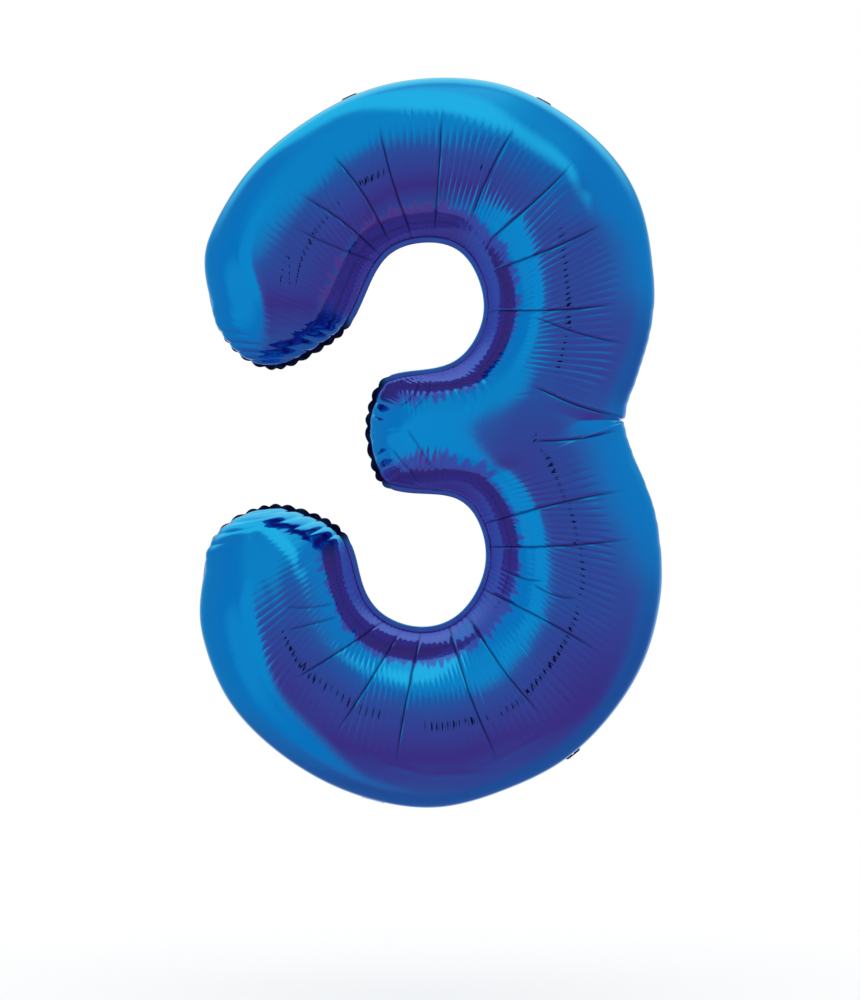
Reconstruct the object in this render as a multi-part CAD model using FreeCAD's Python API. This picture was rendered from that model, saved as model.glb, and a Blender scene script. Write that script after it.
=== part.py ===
import FreeCAD
import Part

import math
import os

# Foil number balloon, figure 3, inflated: two welded foil panels, a self-sealing valve with its filling
# tail, and three tabs to hang it by.
#
# Units are millimetres. X runs to the right of the figure, Y to its back and Z up. The figure is drawn
# about its own centre, with the plane of the weld at Y = 0. It is moved at the end so that the origin is
# HANG_POINT.

# Driving dimensions
FOIL = 1.0  # inset from a panel's outer skin to its inner skin
MARGIN_LAYER = 0.6  # thickness of one panel in the flat margin
VALVE_FILM = 0.3  # thickness of one film of the valve
WELD_INSET = 7.0  # from the edge of the figure in to the weld
MARGIN_INSET = 0.5  # from the edge of the figure in to the edge of the flat margin
MARGIN_REACH = WELD_INSET - MARGIN_INSET
DEPTH_RATIO = 0.42  # half depth of a bowl over its width
JUNCTION_HALF_DEPTH = 90.0  # where both bowls and the arm meet
ARM_HALF_DEPTH = 62.0
ARM_ROUNDING = 48.0  # length over which the arm closes down to its tip
NOTCH_ROUNDING = 115.0  # length over which the waist opens out from its notch
JUNCTION_LENGTH = 110.0  # length over which the junction thins down to the arm

FOLD_GAP = 0.9  # from the end of a fixed layer to the line that it folds on
TAB_WIDTH = 22.0
TAB_REACH = 14.5  # tip of a hanging tab, from the weld
TAB_CORNER = 4.0
HOLE_REACH = 11.0  # centre of a hanging hole, from the weld
HOLE_RADIUS = 2.0

NECK_REACH = 11.5  # end of the filling neck, from the weld
TAIL_WIDTH = 28.0
TAIL_LENGTH = 78.0
TAIL_CORNER = 6.0
TAIL_FOLD = -90.0  # degrees, from hanging straight to lying under the back of the balloon
VALVE_WIDTH = 22.0
VALVE_LENGTH = 120.0  # from the weld into the balloon

# Edge of the figure, clockwise as seen from the front. Each list starts where the one before ends.
UPPER_OUTSIDE = [
    (-184, 88), (-228, 105), (-257, 147), (-267, 205), (-254, 256), (-216, 318), (-158, 371), (-85, 412),
    (-5, 430), (80, 424), (152, 392), (210, 344), (248, 281), (262, 205), (260, 140), (242, 78), (229, 45),
]
LOWER_OUTSIDE = [
    (226, 27), (229, 7), (245, -33), (263, -80), (272, -140), (270, -190), (254, -252), (217, -316),
    (160, -373), (90, -409), (14, -430), (-62, -423), (-132, -396), (-195, -352), (-243, -295), (-268, -228),
    (-273, -178), (-266, -130), (-241, -94),
]
LOWER_BAY = [
    (-192, -74), (-150, -80), (-113, -97), (-91, -127), (-80, -168), (-57, -203), (-12, -219), (36, -202),
    (65, -148), (57, -94), (28, -66), (-16, -61), (-53, -53), (-70, -28),
]
UPPER_BAY = [
    (-77, 12), (-73, 46), (-57, 76), (-20, 87), (28, 98), (58, 135), (62, 180), (38, 226), (-6, 239),
    (-50, 223), (-76, 179), (-99, 136), (-137, 107),
]
NOTCH_PARTNER = 4  # points from the arm's tip to the point of each bay that faces the waist notch

TAB_PLACES = {"top_left": (-94, 408), "top_right": (133, 403), "bottom_right": (168, -367)}
TAIL_PLACE = (-67, -421)
HANG_POINT = FreeCAD.Vector(19.5, 0.0, 400.0)  # between the two top tabs

BOWL_COLUMNS = 60
JUNCTION_COLUMNS = 24
ROWS = 16
EDGE_POINTS = 160
BAY_LEAD = 0.8  # under 1, the bay's edge sets off sooner than the outside edge from a stroke's round end
ARM_SHARE_END = 0.5  # fraction of the way from the notch to the tip where the section is fully the arm's

ORIGIN = FreeCAD.Vector(0, 0, 0)
ALONG_X = FreeCAD.Vector(1, 0, 0)
ALONG_Y = FreeCAD.Vector(0, 1, 0)


class Outline:
    """Closed smooth curve round the figure, with the inside on the right of its direction."""

    def __init__(self):
        lists = [UPPER_OUTSIDE, LOWER_OUTSIDE, LOWER_BAY, UPPER_BAY]
        points = [FreeCAD.Vector(x, 0, z) for part in lists for x, z in part]
        self.end = float(len(points))
        self.notch = float(len(UPPER_OUTSIDE))
        self.lower_end = self.notch + len(LOWER_OUTSIDE)
        self.tip = self.lower_end + len(LOWER_BAY)
        steps = [float(i) for i in range(len(points) + 1)]
        self.curve = Part.BSplineCurve()
        self.curve.interpolate(Points=points, PeriodicFlag=True, Parameters=steps)

    def nearest(self, place):
        """Parameter of the edge's nearest point."""
        return self.curve.parameter(FreeCAD.Vector(place[0], 0, place[1]))

    def outward(self, parameter):
        along = self.curve.tangent(parameter % self.end)[0]
        return FreeCAD.Vector(-along.z, 0, along.x).normalize()

    def point(self, parameter, inset):
        return self.curve.value(parameter % self.end) - self.outward(parameter) * inset

    def at_fraction(self, first, last, fraction):
        """Parameter at a fraction of the length from first to last, in either direction."""
        if last < first:
            return self.at_fraction(last, first, 1.0 - fraction)
        if fraction <= 0.0:
            return first
        if fraction >= 1.0:
            return last
        return self.curve.parameterAtDistance(self.curve.length(first, last) * fraction, first)


def smooth(value):
    value = min(max(value, 0.0), 1.0)
    return value * value * (3.0 - 2.0 * value)


def rounded(distance, length):
    """Quarter of an ellipse: 0 at no distance, 1 from length on."""
    ratio = 1.0 - min(max(distance / length, 0.0), 1.0)
    return math.sqrt(1.0 - ratio * ratio)


def midline_depth(point, notch, tip, thinner):
    """Half depth over the line from the waist notch to the arm's tip."""
    from_notch = (point - notch).Length
    from_tip = (point - tip).Length
    thinning = smooth((from_notch - NOTCH_ROUNDING) / JUNCTION_LENGTH)
    full = JUNCTION_HALF_DEPTH + (ARM_HALF_DEPTH - JUNCTION_HALF_DEPTH) * thinning - thinner
    return full * rounded(from_notch, NOTCH_ROUNDING) * rounded(from_tip, ARM_ROUNDING)


def column(inner, outer, outer_depth, arm_share):
    """Poles across the front, from a bay's edge to the outside edge or to the midline of the arm."""
    bowl_belly = DEPTH_RATIO * (outer - inner).Length
    arm_belly = outer_depth / math.sqrt(2.0)
    belly = bowl_belly + (arm_belly - bowl_belly) * arm_share
    poles = []
    for i in range(ROWS + 1):
        turn = math.pi * i / ROWS
        bowl_step = (1.0 - math.cos(turn)) / 2.0
        arm_step = 1.0 - math.cos(turn / 2.0)
        share = bowl_step + (arm_step - bowl_step) * arm_share
        depth = math.sqrt(4.0 * belly**2 * share * max(1.0 - share, 0.0) + (outer_depth * share) ** 2)
        poles.append(inner + (outer - inner) * share + FreeCAD.Vector(0, -depth, 0))
    return poles


def bowl_poles(outline, inset, round_end, bay_start, bay_end):
    """Columns from a stroke's round end to the waist notch."""
    columns = []
    for i in range(BOWL_COLUMNS + 1):
        part = 1.0 - math.cos(math.pi / 2.0 * i / BOWL_COLUMNS)
        outer = outline.at_fraction(round_end, outline.notch, part)
        inner = outline.at_fraction(bay_start, bay_end, part**BAY_LEAD)
        columns.append(column(outline.point(inner, inset), outline.point(outer, inset), 0.0, 0.0))
    return columns


def junction_poles(outline, inset, bay_start):
    """Columns from the waist notch to the arm's tip."""
    notch, tip = outline.point(outline.notch, inset), outline.point(outline.tip, inset)
    columns = []
    for i in range(JUNCTION_COLUMNS + 1):
        part = (1.0 - math.cos(math.pi * i / JUNCTION_COLUMNS)) / 2.0
        inner = outline.point(outline.at_fraction(bay_start, outline.tip, part), inset)
        middle = notch + (tip - notch) * part
        depth = midline_depth(middle, notch, tip, inset - WELD_INSET)
        columns.append(column(inner, middle, depth, smooth(part / ARM_SHARE_END)))
    return columns


def face(poles):
    """Smooth face over a grid of poles, clamped at its four sides."""
    mults, knots = [], []
    for count in (len(poles), len(poles[0])):
        spans = count - 3
        mults.append([4] + [1] * (spans - 1) + [4])
        knots.append([float(i) for i in range(spans + 1)])
    surface = Part.BSplineSurface()
    surface.buildFromPolesMultsKnots(poles, mults[0], mults[1], knots[0], knots[1], False, False, 3, 3)
    return surface.toShape()


def skin(outline, inset):
    """The front of the inflated figure, as four faces that end in one plane."""
    upper_partner = outline.tip + NOTCH_PARTNER
    lower_partner = outline.tip - NOTCH_PARTNER
    grids = [
        bowl_poles(outline, inset, 0.0, outline.end, upper_partner),
        bowl_poles(outline, inset, outline.lower_end, outline.lower_end, lower_partner),
        junction_poles(outline, inset, upper_partner),
        junction_poles(outline, inset, lower_partner),
    ]
    return [face(poles) for poles in grids]


def sewn(faces):
    shell = Part.makeShell(faces)
    shell.sewShape()
    return shell


def rim(skin_shell):
    """Closed wire round a sewn skin."""
    edges = [
        edge for edge in skin_shell.Edges
        if edge.Length > 0.01 and len(skin_shell.ancestorsOfType(edge, Part.Face)) == 1
    ]
    return Part.Wire(Part.__sortEdges__(edges))


def margin_edge(outline, tail):
    """Edge of the flat margin, with the filling neck that stands out of it."""
    left = outline.curve.parameterAtDistance(TAIL_WIDTH / 2.0, tail)
    right = outline.curve.parameterAtDistance(-TAIL_WIDTH / 2.0, tail)
    span = outline.end - (left - right)
    points = [outline.point(left + span * i / EDGE_POINTS, MARGIN_INSET) for i in range(EDGE_POINTS + 1)]
    run = Part.BSplineCurve()
    run.interpolate(Points=points)
    out = outline.outward(tail) * (NECK_REACH - MARGIN_REACH)
    corners = [points[-1], points[-1] + out, points[0] + out, points[0]]
    neck = [Part.makeLine(corners[i], corners[i + 1]) for i in range(3)]
    return Part.Wire([run.toShape()] + neck)


def front_panel(outline, tail):
    """Inflated front panel with its flat margin and its layer of the filling neck."""
    step = FreeCAD.Vector(0, -MARGIN_LAYER, 0)
    outside = sewn([patch.translated(step) for patch in skin(outline, WELD_INSET)])
    inside = sewn(skin(outline, WELD_INSET + FOIL))
    edge = margin_edge(outline, tail)
    back_ring = Part.makeFace([edge, rim(inside)], "Part::FaceMakerBullseye")
    front_ring = Part.makeFace([edge.translated(step), rim(outside)], "Part::FaceMakerBullseye")
    sides = edge.extrude(step)
    skins = outside.Faces + inside.Faces
    return Part.makeSolid(sewn(skins + back_ring.Faces + front_ring.Faces + sides.Faces))


def weld_place(outline, parameter):
    """Placement on the weld: local Z points out of the figure and local X along its edge."""
    out = outline.outward(parameter)
    turn = math.degrees(math.atan2(out.x, out.z))
    return FreeCAD.Placement(outline.point(parameter, WELD_INSET), FreeCAD.Rotation(ALONG_Y, turn))


def strip(first, last, width, front, back, corner=0.0):
    """Flat strip in local axes, from first to last along Z, with its two far corners rounded."""
    box = Part.makeBox(width, back - front, last - first, FreeCAD.Vector(-width / 2.0, front, first))
    if corner > 0.0:
        middle = (front + back) / 2.0
        spots = [FreeCAD.Vector(x, middle, last) for x in (-width / 2.0, width / 2.0)]
        tips = [edge for edge in box.Edges if any(edge.CenterOfMass.isEqual(spot, 1e-6) for spot in spots)]
        box = box.makeFillet(corner, tips)
    return box.Solids[0]


def placed(shape, place):
    shape.Placement = place.multiply(shape.Placement)
    return shape


def mirrored(shape):
    return shape.mirror(ORIGIN, ALONG_Y)


def hanging_tab():
    """Both layers of the margin welded into one ear with a hole, in local axes."""
    ear = strip(MARGIN_REACH + FOLD_GAP, TAB_REACH, TAB_WIDTH, -MARGIN_LAYER, MARGIN_LAYER, TAB_CORNER)
    through = 4.0 * MARGIN_LAYER
    hole = Part.makeCylinder(HOLE_RADIUS, through, FreeCAD.Vector(0, -through / 2.0, HOLE_REACH), ALONG_Y)
    return ear.cut(hole).Solids[0]


def tail_layer(front, back):
    """One layer of the filling tail, folded back from the end of the neck, in local axes."""
    root = NECK_REACH + FOLD_GAP
    layer = strip(root, root + TAIL_LENGTH, TAIL_WIDTH, front, back, TAIL_CORNER)
    layer.rotate(FreeCAD.Vector(0, 0, root), ALONG_X, TAIL_FOLD)
    return layer


def build():
    """Every piece of the balloon, by name."""
    outline = Outline()
    tail = outline.nearest(TAIL_PLACE)
    place = weld_place(outline, tail)
    channel = placed(strip(-3.0 * FOIL, NECK_REACH + 1.0, VALVE_WIDTH, -VALVE_FILM, 1.0), place)
    panel = front_panel(outline, tail).cut(channel).Solids[0]
    film = placed(strip(-VALVE_LENGTH, NECK_REACH, VALVE_WIDTH, -VALVE_FILM, 0.0), place)
    pieces = {
        "front_foil_panel": panel,
        "back_foil_panel": mirrored(panel),
        "valve_front_film": film,
        "valve_back_film": mirrored(film),
        "tail_front_layer": placed(tail_layer(-MARGIN_LAYER, 0.0), place),
        "tail_back_layer": placed(tail_layer(0.0, MARGIN_LAYER), place),
    }
    for name, guess in TAB_PLACES.items():
        pieces["hanging_tab_" + name] = placed(hanging_tab(), weld_place(outline, outline.nearest(guess)))
    return pieces


os.makedirs("parts", exist_ok=True)
for name, shape in build().items():
    shape.translate(HANG_POINT * -1.0)
    shape.exportStep("parts/" + name + ".step")
    print(name, "valid" if shape.isValid() else "INVALID", shape.ShapeType, round(shape.Volume), "mm3")
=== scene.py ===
import math

import bmesh
import bpy
import numpy as np
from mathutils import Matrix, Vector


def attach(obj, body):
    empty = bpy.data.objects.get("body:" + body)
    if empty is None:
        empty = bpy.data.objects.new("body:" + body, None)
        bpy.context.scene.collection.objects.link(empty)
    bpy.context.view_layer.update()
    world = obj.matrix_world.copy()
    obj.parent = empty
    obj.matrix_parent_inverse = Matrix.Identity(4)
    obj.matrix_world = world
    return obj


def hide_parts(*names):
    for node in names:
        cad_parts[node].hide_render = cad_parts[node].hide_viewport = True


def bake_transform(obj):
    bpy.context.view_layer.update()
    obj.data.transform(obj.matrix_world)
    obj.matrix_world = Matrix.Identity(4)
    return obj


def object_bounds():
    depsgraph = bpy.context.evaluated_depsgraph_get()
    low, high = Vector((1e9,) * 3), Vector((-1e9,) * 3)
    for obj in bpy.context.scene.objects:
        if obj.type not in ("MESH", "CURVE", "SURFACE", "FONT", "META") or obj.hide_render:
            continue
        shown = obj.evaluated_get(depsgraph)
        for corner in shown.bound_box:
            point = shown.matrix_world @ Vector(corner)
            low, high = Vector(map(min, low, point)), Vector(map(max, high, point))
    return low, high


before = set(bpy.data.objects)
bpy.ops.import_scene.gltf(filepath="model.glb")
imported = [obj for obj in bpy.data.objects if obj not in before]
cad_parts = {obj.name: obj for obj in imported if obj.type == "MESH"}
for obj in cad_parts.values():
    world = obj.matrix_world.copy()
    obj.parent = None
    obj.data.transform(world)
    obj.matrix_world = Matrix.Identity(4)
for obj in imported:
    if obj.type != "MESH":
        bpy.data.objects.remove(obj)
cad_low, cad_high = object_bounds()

# Foil number balloon, figure 3. Shapes are worked out in millimetres about the centre of the figure, as seen
# from the front: x to the right, y to the back, z up. to_frame() turns them into the frame's metres.

MM = 0.001
HANG_POINT = np.array([19.5, 0.0, 400.0])  # the frame's origin, in figure millimetres

# Edge of the figure, clockwise as seen from the front. Each list starts where the one before ends.
UPPER_OUTSIDE = [
    (-184, 88), (-228, 105), (-257, 147), (-267, 205), (-254, 256), (-216, 318), (-158, 371), (-85, 412),
    (-5, 430), (80, 424), (152, 392), (210, 344), (248, 281), (262, 205), (260, 140), (242, 78), (229, 45),
]
LOWER_OUTSIDE = [
    (226, 27), (229, 7), (245, -33), (263, -80), (272, -140), (270, -190), (254, -252), (217, -316),
    (160, -373), (90, -409), (14, -430), (-62, -423), (-132, -396), (-195, -352), (-243, -295), (-268, -228),
    (-273, -178), (-266, -130), (-241, -94),
]
LOWER_BAY = [
    (-192, -74), (-150, -80), (-113, -97), (-91, -127), (-80, -168), (-57, -203), (-12, -219), (36, -202),
    (65, -148), (57, -94), (28, -66), (-16, -61), (-53, -53), (-70, -28),
]
UPPER_BAY = [
    (-77, 12), (-73, 46), (-57, 76), (-20, 87), (28, 98), (58, 135), (62, 180), (38, 226), (-6, 239),
    (-50, 223), (-76, 179), (-99, 136), (-137, 107),
]
NOTCH_PARTNER = 4  # points from the arm's tip to the point of each bay that faces the waist notch

WELD_INSET = 7.0  # from the edge of the figure in to the weld
DEPTH_RATIO = 0.42  # half depth of a bowl over its width
JUNCTION_HALF_DEPTH = 90.0  # where both bowls and the arm meet
ARM_HALF_DEPTH = 62.0
ARM_ROUNDING = 48.0  # length over which the arm closes down to its tip
NOTCH_ROUNDING = 115.0  # length over which the waist opens out from its notch
JUNCTION_LENGTH = 110.0  # length over which the junction thins down to the arm
BAY_LEAD = 0.8  # under 1, the bay's edge sets off sooner than the outside edge from a stroke's round end
ARM_SHARE_END = 0.5  # fraction of the way from the notch to the tip where the section is fully the arm's
BAY_EASE = 22.0  # the film leaves the weld of a bay less steeply within about this distance
COLUMN_EASE = 0.05  # under 1, columns lie closer together at a stroke's round end
MEMBRANE_CELL = 4.0
MEMBRANE_EDGE = 12.0  # empty border round the figure
MEMBRANE_SWEEPS = 500
MEMBRANE_RELAXATION = 1.94
MEMBRANE_FADE = (60.0, 500.0)  # squared millimetres: from where it takes over, and over what height
JOIN_CENTRE = np.array([120.0, 18.0])  # round here the film takes the membrane's shape
JOIN_REACH = (130.0, 260.0)

# Pouch of film beside the weld
POUCH_OUTSIDE = 15.5  # on the outside curves, where it hides the margin
POUCH_ROUND_END = 4.5
POUCH_ANGLE = 0.4  # radians round the section from the weld, where the pouch is fullest
NOTCH_REACH = 45.0  # near the waist notch the pouch points straight out of the figure
POUCH_START = 20.0  # the pouch grows over this length at the very end of a stroke
ROUND_END_LENGTH = 130.0  # along the edge from the lowest point of a round end

BOWL_COLUMNS = 900
JUNCTION_COLUMNS = 300
ROWS = 120
OUTLINE_STEPS = 60  # steps from one point of the outline to the next, where its length is measured
WELD_STEPS = 500  # steps along a bay, where the nearest place on its weld is looked for
SEED = 3

# Relief of the film
EDGE_DEPTH = 5.0  # the relief fades out over this depth at the weld
FOLD_WIDTH = 1.5  # a crease is a narrow fold in a wide shallow valley
FOLD_DEPTH = 0.34
VALLEY_WIDTH = 14.0
VALLEY_DEPTH = 0.7
RIDGE_SHARE = 0.4  # beside the fold stands a lower ridge
RIDGE_OFFSET = 2.2  # in fold widths
CREASE_BOW = 4.5  # how far a crease bends from the straight line at most
CREASE_LINE = 1.1  # half width of its line of painted shade
DENT_WAVES = 9
DENT_LENGTHS = (90.0, 210.0)
DENT_HEIGHT = 0.9
DENT_DEPTH = 50.0  # the dents reach their full height where the film is this deep
RIPPLE_PITCH = 7.6
RIPPLE_HEIGHT = 0.23
RIPPLE_GROUP = 45.0
RIPPLE_STRENGTH = (0.35, 1.0)  # least and most, from group to group
RIPPLE_UNEVEN = (0.3, 1.0)  # and from ripple to ripple
RIPPLE_SHIFT = 2.0  # radians
RIPPLE_START = (0.05, 0.22)  # least and most, as fractions of the way from the bay to the outside edge
RIPPLE_STOP = (0.66, 0.82)
END_CLEAR = (30.0, 70.0)  # from a round end: length without ripples, and over what length they come in
JOIN_CLEAR = 30.0  # the ripples of a bowl die out over this length, where it meets the junction
RIPPLE_GROWTH = (40.0, 200.0)  # from a round end: where the ripples begin to grow, and over what length
ARM_RIPPLE_PITCH = 6.8
ARM_RIPPLE_HEIGHT = 0.26
ARM_RIPPLE_REACH = 44.0
ARM_START = 0.15  # share of the arm's columns, from the bowl, over which ripples and jags come in
TIP_CLEAR = 30.0  # the middle of the arm's tip has neither ripples nor gathers
LIP_REACH = 5.0  # how far the film of a round end stands out over its weld
BAY_LIP = 3.0
LIP_HEIGHT = 15.0  # depth at which it stands out most
SCALLOP_PITCH = 17.0
SCALLOP_LOBE = 0.25  # share of the reach of a round end's film that comes and goes with the scallops
SCALLOP_TUCK = 0.22  # how wide the tuck between two scallops is, against the scallop
SCALLOP_FOLD = 0.5  # its depth
SCALLOP_FOLD_LENGTH = 7.0
PUCKER_SPLIT = (0.4, 0.6)  # from the bay, where the puckers of one edge give way to those of the other
GATHER_PITCH = 5.6
GATHER_HEIGHT = 0.3
GATHER_LENGTH = 14.0
END_HALF_LENGTH = 95.0  # half length of the scalloped edge of a round end
TIP_HALF_LENGTH = 62.0  # and of the arm's tip
END_FADE = 25.0  # length over which the scallops die out
JAG_PITCH = 4.0
JAG_CLEAR = 20.0  # the jags die out over this length, where a bowl meets the junction
BAND_CHANGE = 60.0  # and the band's width changes over this one to that on the arm
JAG_SHARE = 0.18  # how uneven the edge of the band of painted shade is, as a share of its width
ARM_JAG_SHARE = 0.2
SHADE_BAND_FADE = 5.0  # width of its edge
SHADE_BAND = 37.0  # the film is gathered, and is painted darker with painted shade, this far from the weld of a bay
SHADE_BAND_ARM = (32.0, 42.0)  # upper and lower side of the arm

# Margin, tabs and tail
MARGIN_STEPS = 2400
MARGIN_INSET = 0.5
MARGIN_REACH = WELD_INSET - MARGIN_INSET
MARGIN_HALF = 0.25  # half thickness
MARGIN_PLACES = (1.25, 1.0, 0.75, 0.5, 0.25, 0.0)  # from inside the balloon, by the weld at 1, to the edge
MARGIN_LIFT = 1.3  # the ruffle grows towards the edge by this power
SCALLOP_CUT = 1.8  # how far the edge is cut back between two scallops
SCALLOP_PROUD = 1.3  # and how far it stands out at the middle of one
END_RUFFLE = 2.6
BAND_RUFFLE = 0.25
FOLD_GAP = 0.9  # from the end of a fixed layer to the line that it folds on
TAB_WIDTH = 22.0
TAB_ROOT = 1.0
TAB_REACH = 14.5
TAB_CORNER = 4.0
TAB_HALF = 0.4  # half thickness
HOLE_RIM = 0.7  # width of the thicker rim round a tab's hole
TAB_SHADE = 0.85  # how far a tab's tone goes to the near-black painted shade of the sealed edge
HOLE_REACH = 11.0
HOLE_RADIUS = 2.0
NECK_REACH = 11.0
TAIL_ROOT = 1.0
TAIL_WIDTH = 28.0
TAIL_LENGTH = 78.0
TAIL_CORNER = 6.0
FOLD_RADIUS = 1.6
LAYER_HALF = 0.15  # half thickness of one layer of the tail
TAIL_OPENING = 0.9  # how far the layers of the tail part from each other
TAIL_SHORTER = 2.0  # the film of the tail ends this much before the CAD layers
TAIL_WAVE = 1.5
TAIL_WAVE_LENGTH = 26.0  # for each radian
TAIL_CRINKLE = 0.25
SEAL_INSET = 2.5  # from each side of the tail in to its pressed seam
SEAL_WIDTH = 0.6
SEAL_DEPTH = 0.1
TAB_PLACES = {"top_left": (-94, 408), "top_right": (133, 403), "bottom_right": (168, -367)}
TAIL_PLACE = (-67, -421)

# Creases: each runs from the first point to the second, in the plane of the figure, with its depth
CREASES = [
    ((-24, 253), (-61, 380), 1.0), ((-52, 247), (-120, 345), 1.2), ((-65, 229), (-157, 294), 1.1),
    ((-68, 217), (-165, 256), 0.7), ((6, 261), (14, 400), 0.9), ((51, 271), (102, 376), 1.1),
    ((73, 242), (171, 331), 1.3), ((86, 208), (207, 259), 1.3), ((80, 157), (225, 163), 1.2),
    ((130, 145), (234, 116), 0.8), ((130, 62), (226, 30), 1.4), ((130, 1), (226, 16), 1.4),
    ((70, -95), (235, -56), 1.3), ((73, -124), (241, -114), 1.2), ((87, -152), (138, -163), 0.7),
    ((124, -169), (176, -184), 0.7), ((70, -178), (204, -251), 1.2), ((48, -212), (135, -326), 1.3),
    ((24, -225), (83, -381), 1.1), ((-13, -235), (-41, -383), 1.1), ((-41, -233), (-113, -346), 1.2),
    ((-60, -215), (-163, -281), 1.0), ((-113, -207), (-172, -222), 0.6), ((-117, -191), (-174, -193), 0.5),
    ((-11, 76), (-40, 40), 0.5), ((2, 75), (-24, 35), 0.4), ((-44, -10), (-12, -48), 0.5),
    ((-25, 12), (7, -38), 0.5),
]

# Wide folds: start, stop, depth (a ridge where it is negative) and width
FOLDS = [
    ((-162, 243), (-170, 138), 1.5, 6.5), ((-216, -92), (-172, -214), 1.6, 9.0),
    ((-205, 120), (-250, 235), 0.9, 14.0), ((-60, -378), (0, -394), -0.7, 3.5),
    ((-15, -394), (75, -391), -0.7, 3.5), ((50, -392), (150, -338), -0.7, 3.5),
    ((-110, -98), (-160, -160), 1.2, 8.0), ((150, 260), (215, 330), 0.9, 12.0),
]

# Colours of the film: bare, in two tones, then painted shade in the gathered band beside a bay, painted
# shade in the line of a crease, and painted shade on the sealed edge of a round end and on the tabs
FOIL_DEEP = (0.052, 0.19, 0.56, 1.0)
FOIL_LIGHT = (0.060, 0.21, 0.60, 1.0)
FOIL_SHADE = (0.110, 0.083, 0.41, 1.0)
FOIL_CREASE_SHADE = (0.012, 0.015, 0.10, 1.0)
SEALED_SHADE = (0.004, 0.008, 0.035, 1.0)
PLAIN_EDGE = (1.0, 1.0, 1.0, 1.0)  # tint of the film seen at a flat angle
# painted reflection: violet tint of the gloss, and less metal, in the band of painted shade
SHADE_EDGE_TINT = (0.25, 0.15, 0.50, 1.0)
SHADE_METAL = 0.72
FOIL_ROUGHNESS = 0.07
SEALED_ROUGHNESS = 0.16
HAZE_RANGE = (0.7, 1.4)  # least and most roughness, as shares of the film's own
FOIL_CRINKLE = 0.15
SEALED_CRINKLE = 0.4
CRINKLE_HEIGHT = 0.0004
VALVE_COLOUR = (0.85, 0.88, 0.92, 1.0)
VALVE_ALPHA = 0.6

# Camera and stage, in metres
CAMERA_DISTANCE = 5.0
CAMERA_DROP = 0.0682  # below the centre of the figure
VIEW_HEIGHT = 1.196  # what the camera takes in, at the figure
SENSOR_HEIGHT = 36.0
FLOOR_SIZE = 6.0
FLOOR_DROP = 0.25  # below the balloon
FLOOR_COLOUR = (0.95, 0.95, 0.95, 1.0)
ROOM_LIGHT = (1.08, 1.08, 1.08, 1.0)
BACKDROP = (1.0, 1.0, 1.0, 1.0)


def to_frame(points):
    """Figure millimetres to the frame's metres."""
    return (np.asarray(points, float) - HANG_POINT) * MM


def smooth(value):
    """0 up to 0, 1 from 1 on, and a smooth rise between."""
    value = np.clip(value, 0.0, 1.0)
    return value * value * (3.0 - 2.0 * value)


def rounded(distance, length):
    """Quarter of an ellipse: 0 at no distance, 1 from length on."""
    ratio = 1.0 - np.clip(np.asarray(distance) / length, 0.0, 1.0)
    return np.sqrt(1.0 - ratio * ratio)


class Outline:
    """Closed smooth curve round the figure. Its parameter runs clockwise from the upper round end."""

    def __init__(self):
        self.points = np.array(UPPER_OUTSIDE + LOWER_OUTSIDE + LOWER_BAY + UPPER_BAY, float)
        count = len(self.points)
        self.end = float(count)
        self.notch = float(len(UPPER_OUTSIDE))
        self.lower_end = self.notch + len(LOWER_OUTSIDE)
        self.tip = self.lower_end + len(LOWER_BAY)
        eye = np.eye(count)
        ties = 4.0 * eye + np.roll(eye, 1, axis=0) + np.roll(eye, -1, axis=0)
        before, after = np.roll(self.points, 1, axis=0), np.roll(self.points, -1, axis=0)
        turns = before - 2.0 * self.points + after
        self.bend = np.linalg.solve(ties, 6.0 * turns)
        self.steps = np.linspace(0.0, self.end, count * OUTLINE_STEPS + 1)
        run = np.linalg.norm(np.diff(self.value(self.steps), axis=0), axis=1)
        self.lengths = np.concatenate([[0.0], np.cumsum(run)])

    def spans(self, parameter):
        """The two points on either side, the curve's bend at each, and how far it is from the first."""
        parameter = np.mod(parameter, self.end)
        first = np.floor(parameter).astype(int) % len(self.points)
        second = (first + 1) % len(self.points)
        part = (parameter - np.floor(parameter))[..., None]
        return self.points[first], self.points[second], self.bend[first], self.bend[second], part

    def value(self, parameter):
        a, b, bend_a, bend_b, t = self.spans(parameter)
        s = 1.0 - t
        return s * a + t * b + ((s**3 - s) * bend_a + (t**3 - t) * bend_b) / 6.0

    def outward(self, parameter):
        """Unit vector square to the edge, out of the figure."""
        a, b, bend_a, bend_b, t = self.spans(parameter)
        s = 1.0 - t
        along = b - a + ((1.0 - 3.0 * s * s) * bend_a + (3.0 * t * t - 1.0) * bend_b) / 6.0
        along /= np.linalg.norm(along, axis=-1, keepdims=True)
        return np.stack([-along[..., 1], along[..., 0]], axis=-1)

    def point(self, parameter, inset):
        return self.value(parameter) - self.outward(parameter) * np.asarray(inset)[..., None]

    def length_at(self, parameter):
        """Length along the edge, from parameter 0."""
        return np.interp(parameter, self.steps, self.lengths)

    def at_fraction(self, first, last, fraction):
        """Parameter at a fraction of the length from first to last."""
        start, stop = self.length_at(first), self.length_at(last)
        return np.interp(start + (stop - start) * np.asarray(fraction), self.lengths, self.steps)


outline = Outline()


# ---- The inflated film ----


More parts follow.
